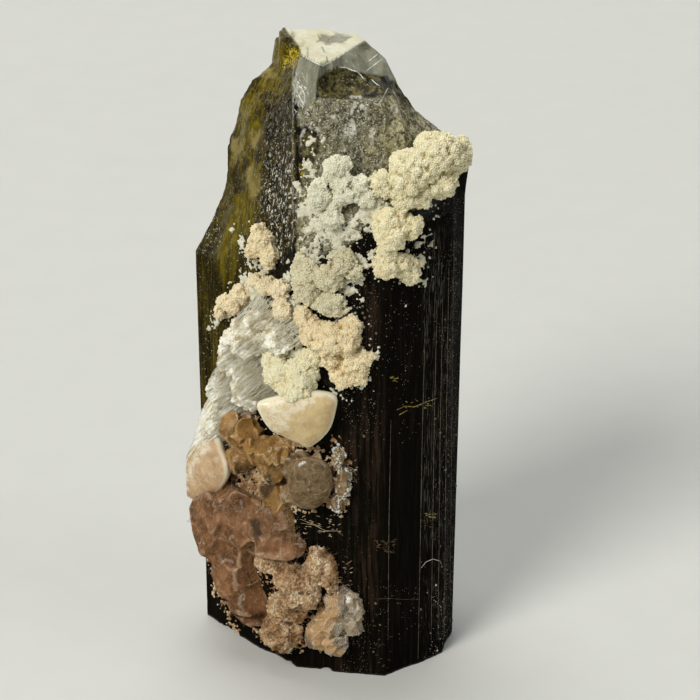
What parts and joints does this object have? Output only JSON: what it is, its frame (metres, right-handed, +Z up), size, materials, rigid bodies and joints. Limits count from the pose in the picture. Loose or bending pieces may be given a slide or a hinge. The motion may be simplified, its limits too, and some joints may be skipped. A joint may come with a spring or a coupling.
{
  "type": "tourmaline crystal",
  "caption": "Upright black to olive tourmaline prism with a broken sloping top, with cream feldspar lumps and clear, tan and smoky quartz grown on its front and left side.",
  "frame": {"origin": "middle of the flat broken underside's level, at the centre of the whole specimen's outline seen from above", "axes": "+Z up along the prism, +X to the right and +Y away as seen from the front with the feldspar on it"},
  "size_m": [0.0142, 0.0122, 0.0323],
  "materials": {
    "tourmaline": "glossy near-black prism faces with fine lengthwise grooves, olive and golden where thin, frosted on the broken slope",
    "feldspar": "matt cream sugary grains",
    "sandy_feldspar": "matt tan and orange sandy crust with fine tufts",
    "silky_fibres": "white silky fibres lying side by side",
    "milky_quartz": "smooth glassy translucent beige quartz",
    "smoky_quartz": "glassy translucent tan to pinkish-brown quartz"
  },
  "bodies": {
    "root": {"tourmaline_crystal": "tourmaline", "lens_quartz": "milky_quartz", "muffin_feldspar": "feldspar", "saddle_feldspar": "feldspar", "middle_feldspar": "feldspar", "column_feldspar": "feldspar", "shoulder_feldspar": "feldspar", "upper_feldspar": "feldspar", "left_feldspar_upper": "feldspar", "left_feldspar_middle": "feldspar", "left_feldspar_lower": "feldspar", "finger_quartz": "milky_quartz", "silky_crust": "silky_fibres", "clear_quartz": "milky_quartz", "tan_quartz": "smoky_quartz", "smoky_quartz": "smoky_quartz", "sandy_feldspar": "sandy_feldspar", "foot_quartz": "milky_quartz"}
  },
  "joints": []
}
